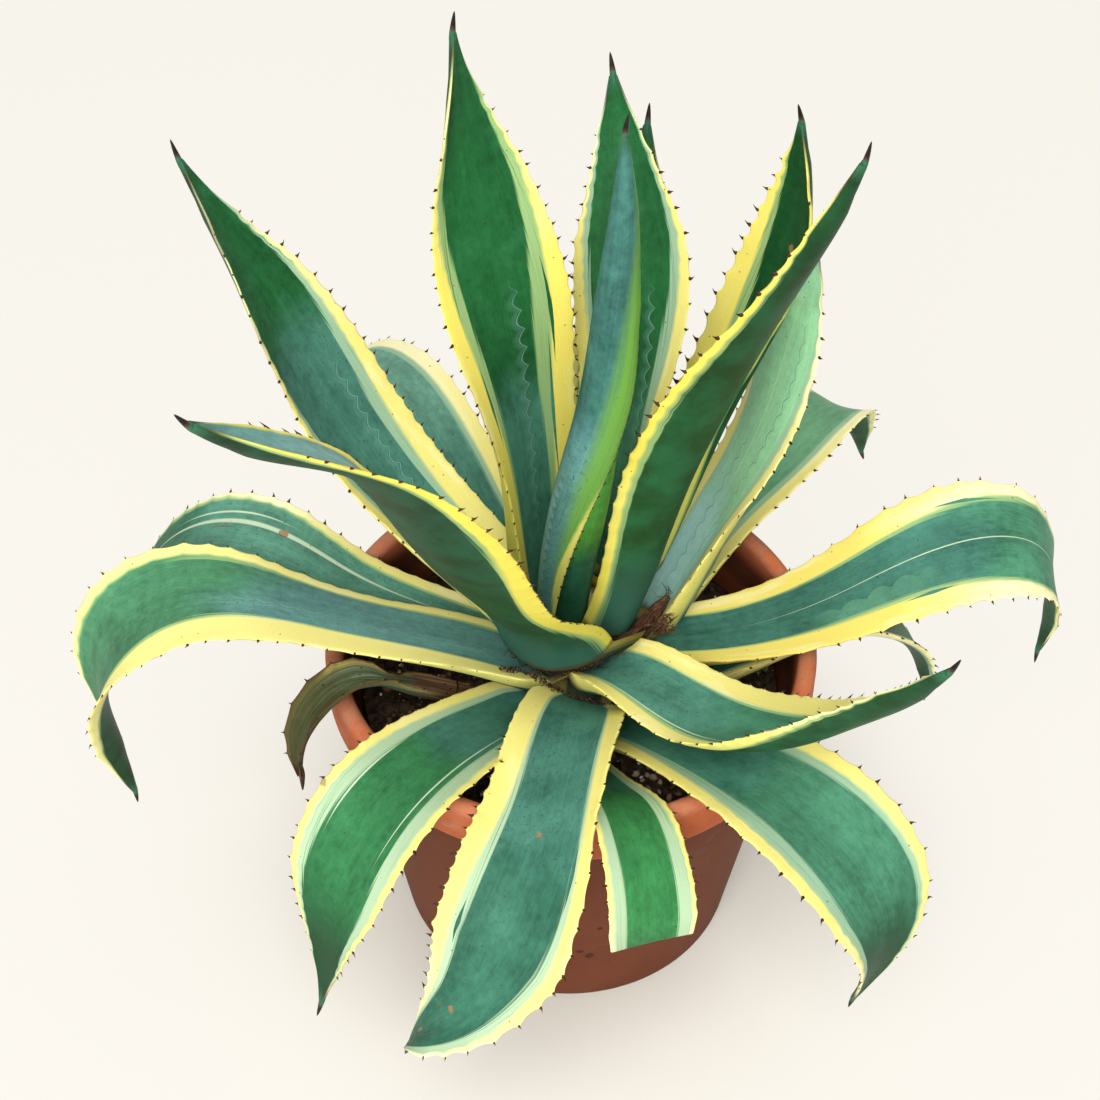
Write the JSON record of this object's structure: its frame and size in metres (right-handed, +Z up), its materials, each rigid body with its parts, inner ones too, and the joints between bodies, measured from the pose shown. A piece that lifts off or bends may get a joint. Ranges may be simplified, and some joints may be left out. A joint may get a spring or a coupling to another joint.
{
  "type": "variegated century plant in a terracotta pot",
  "caption": "Rosette succulent with long, toothed, yellow-edged green leaves arching over the rim of a round clay flower pot that stands on its own.",
  "frame": {"origin": "centre of the pot's underside, on the surface that it stands on", "axes": "+Z up, -Y towards the front that is usually seen, +X to the right"},
  "size_m": [0.7435, 0.5987, 0.7358],
  "materials": {
    "leaf": "waxy blue-green skin with yellow to cream margins, brown-black teeth and spines",
    "withered_leaf": "dull grey-green shrivelled skin with brown papery edges",
    "husk": "dry brown papery leaf remnant",
    "stem": "short fleshy stem, pale yellow-green to brown",
    "seedling": "soft dark green leaf",
    "soil": "dark bark and peat potting mix with perlite and pumice grains",
    "terracotta": "smooth unglazed terracotta with faint throwing lines and scuffs"
  },
  "bodies": {
    "root": {"leaf_01": "leaf", "leaf_02": "leaf", "leaf_03": "leaf", "leaf_04": "leaf", "leaf_05": "leaf", "leaf_06": "leaf", "leaf_07": "leaf", "leaf_08": "leaf", "leaf_09": "leaf", "leaf_10": "leaf", "leaf_11": "leaf", "leaf_12": "leaf", "leaf_13": "leaf", "leaf_14": "leaf", "leaf_15": "leaf", "leaf_16": "leaf", "leaf_17": "leaf", "leaf_18": "leaf", "leaf_19": "leaf", "leaf_cut": "leaf", "leaf_withered": "withered_leaf", "dry_husk": "husk", "stem": "stem", "seedling": "seedling", "soil": "soil", "pot": "terracotta"}
  },
  "joints": []
}
